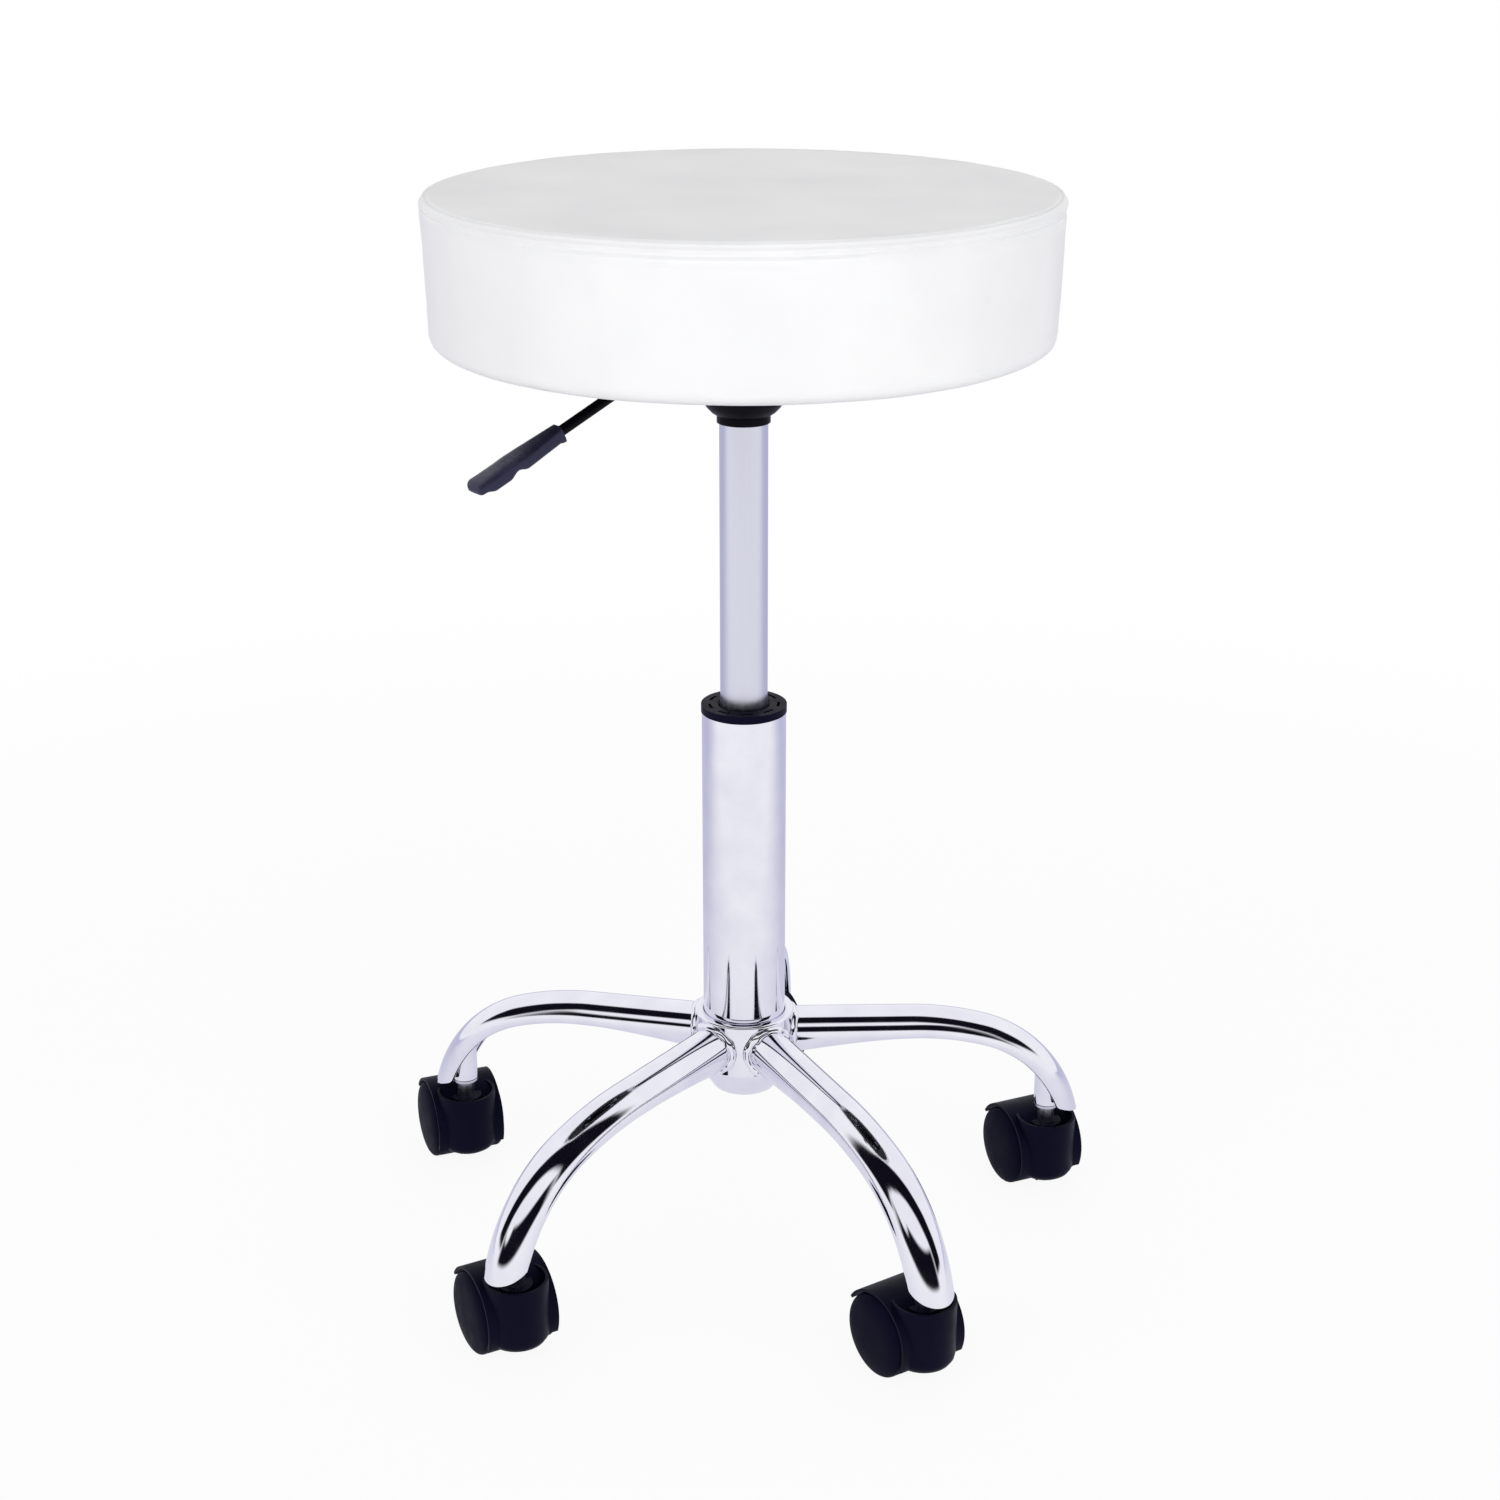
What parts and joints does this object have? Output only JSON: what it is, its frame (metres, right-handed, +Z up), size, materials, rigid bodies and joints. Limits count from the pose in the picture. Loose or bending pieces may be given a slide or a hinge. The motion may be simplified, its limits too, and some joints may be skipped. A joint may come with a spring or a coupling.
{
  "type": "work stool",
  "caption": "Height-adjustable work stool with a round padded seat, a gas lift with a release lever, and a splayed tubular base on twin-wheel swivel castors.",
  "frame": {"origin": "on the floor, on the column's axis", "axes": "+Z up along the column, +Y towards one of the legs"},
  "size_m": [0.4434, 0.4307, 0.6522],
  "materials": {
    "vinyl": "matt upholstery vinyl, fine grain, pale grey-white",
    "foam": "open-cell foam",
    "plywood": "sanded plywood",
    "felt": "non-woven dust cover",
    "black_steel": "black powder coat, slight sheen",
    "steel": "satin drawn steel",
    "chrome": "bright chrome plate on steel tube",
    "black_plastic": "moulded black nylon with a violet sheen",
    "rubber": "black rubber",
    "nylon": "natural nylon"
  },
  "bodies": {
    "base": {"column_tube": "chrome", "guide_bush": "black_plastic", "base_hub": "chrome", "bearing_lower_washer": "steel", "bearing_balls": "steel", "stem_sockets": "chrome", "stem_sleeves": "nylon", "leg_back": "chrome", "leg_left": "chrome", "leg_front_left": "chrome", "leg_front_right": "chrome", "leg_right": "chrome"},
    "lift_rod": {"piston_rod": "steel", "piston": "black_plastic", "bump_stop": "rubber", "bearing_upper_washer": "steel", "retaining_clip": "steel"},
    "seat": {"seat_cover": "vinyl", "foam_pad": "foam", "seat_board": "plywood", "t_nuts": "steel", "plate_bolts": "steel", "dust_cover": "felt", "staples": "steel", "seat_plate": "black_steel", "taper_socket": "black_steel", "lever_pivot_pin": "steel", "gas_cylinder": "steel", "cylinder_gland": "black_plastic"},
    "lever": {"lever_rod": "black_steel", "lever_grip": "black_plastic"},
    "release_button": {"release_pin": "steel"},
    "castor_back": {"castor_hood_back": "black_plastic", "castor_stem_back": "steel", "castor_axle_back": "steel"},
    "wheel_a_back": {"wheel_a_back": "black_plastic"},
    "wheel_b_back": {"wheel_b_back": "black_plastic"},
    "castor_left": {"castor_hood_left": "black_plastic", "castor_stem_left": "steel", "castor_axle_left": "steel"},
    "wheel_a_left": {"wheel_a_left": "black_plastic"},
    "wheel_b_left": {"wheel_b_left": "black_plastic"},
    "castor_front_left": {"castor_hood_front_left": "black_plastic", "castor_stem_front_left": "steel", "castor_axle_front_left": "steel"},
    "wheel_a_front_left": {"wheel_a_front_left": "black_plastic"},
    "wheel_b_front_left": {"wheel_b_front_left": "black_plastic"},
    "castor_front_right": {"castor_hood_front_right": "black_plastic", "castor_stem_front_right": "steel", "castor_axle_front_right": "steel"},
    "wheel_a_front_right": {"wheel_a_front_right": "black_plastic"},
    "wheel_b_front_right": {"wheel_b_front_right": "black_plastic"},
    "castor_right": {"castor_hood_right": "black_plastic", "castor_stem_right": "steel", "castor_axle_right": "steel"},
    "wheel_a_right": {"wheel_a_right": "black_plastic"},
    "wheel_b_right": {"wheel_b_right": "black_plastic"}
  },
  "joints": [
    {"name": "seat_swivel", "type": "hinge", "parent": "base", "child": "lift_rod", "pos_m": [0, 0, 0.11012], "axis": [0, 0, 1], "continuous": true},
    {"name": "height_lift", "type": "slide", "parent": "lift_rod", "child": "seat", "axis": [0, 0, 1], "range_m": [-0.14, 0], "stiffness_N_per_m": 400, "springref_m": 0.25},
    {"name": "lever_tilt", "type": "hinge", "parent": "seat", "child": "lever", "pos_m": [-0.02006, -0.01807, 0.55512], "axis": [-0.6691, 0.7431, 0], "range_deg": [0, 6], "stiffness_Nm_per_rad": 1, "springref_deg": -5.73},
    {"name": "release_press", "type": "slide", "parent": "seat", "child": "release_button", "axis": [0, 0, 1], "range_m": [-0.0032, 0]},
    {"name": "castor_back_swivel", "type": "hinge", "parent": "base", "child": "castor_back", "pos_m": [0, 0.2, 0.05], "axis": [0, 0, 1], "continuous": true},
    {"name": "wheel_a_back_roll", "type": "hinge", "parent": "castor_back", "child": "wheel_a_back", "pos_m": [-0.0085, 0.21472, 0.025], "axis": [-0.866, -0.5, 0], "continuous": true},
    {"name": "wheel_b_back_roll", "type": "hinge", "parent": "castor_back", "child": "wheel_b_back", "pos_m": [-0.0085, 0.21472, 0.025], "axis": [-0.866, -0.5, 0], "continuous": true},
    {"name": "castor_left_swivel", "type": "hinge", "parent": "base", "child": "castor_left", "pos_m": [-0.19021, 0.0618, 0.05], "axis": [0, 0, 1], "continuous": true},
    {"name": "wheel_a_left_roll", "type": "hinge", "parent": "castor_left", "child": "wheel_a_left", "pos_m": [-0.19793, 0.07695, 0.025], "axis": [-0.891, -0.454, 0], "continuous": true},
    {"name": "wheel_b_left_roll", "type": "hinge", "parent": "castor_left", "child": "wheel_b_left", "pos_m": [-0.19793, 0.07695, 0.025], "axis": [-0.891, -0.454, 0], "continuous": true},
    {"name": "castor_front_left_swivel", "type": "hinge", "parent": "base", "child": "castor_front_left", "pos_m": [-0.11756, -0.1618, 0.05], "axis": [0, 0, 1], "continuous": true},
    {"name": "wheel_a_front_left_roll", "type": "hinge", "parent": "castor_front_left", "child": "wheel_a_front_left", "pos_m": [-0.12706, -0.14771, 0.025], "axis": [-0.829, -0.5592, 0], "continuous": true},
    {"name": "wheel_b_front_left_roll", "type": "hinge", "parent": "castor_front_left", "child": "wheel_b_front_left", "pos_m": [-0.12706, -0.14771, 0.025], "axis": [-0.829, -0.5592, 0], "continuous": true},
    {"name": "castor_front_right_swivel", "type": "hinge", "parent": "base", "child": "castor_front_right", "pos_m": [0.11756, -0.1618, 0.05], "axis": [0, 0, 1], "continuous": true},
    {"name": "wheel_a_front_right_roll", "type": "hinge", "parent": "castor_front_right", "child": "wheel_a_front_right", "pos_m": [0.10686, -0.14859, 0.025], "axis": [-0.7771, -0.6293, 0], "continuous": true},
    {"name": "wheel_b_front_right_roll", "type": "hinge", "parent": "castor_front_right", "child": "wheel_b_front_right", "pos_m": [0.10686, -0.14859, 0.025], "axis": [-0.7771, -0.6293, 0], "continuous": true},
    {"name": "castor_right_swivel", "type": "hinge", "parent": "base", "child": "castor_right", "pos_m": [0.19021, 0.0618, 0.05], "axis": [0, 0, 1], "continuous": true},
    {"name": "wheel_a_right_roll", "type": "hinge", "parent": "castor_right", "child": "wheel_a_right", "pos_m": [0.18197, 0.07667, 0.025], "axis": [-0.8746, -0.4848, 0], "continuous": true},
    {"name": "wheel_b_right_roll", "type": "hinge", "parent": "castor_right", "child": "wheel_b_right", "pos_m": [0.18197, 0.07667, 0.025], "axis": [-0.8746, -0.4848, 0], "continuous": true}
  ],
  "couplings": [
    {"joint": "release_press", "follows": "lever_tilt", "m_per_rad": -0.03}
  ]
}
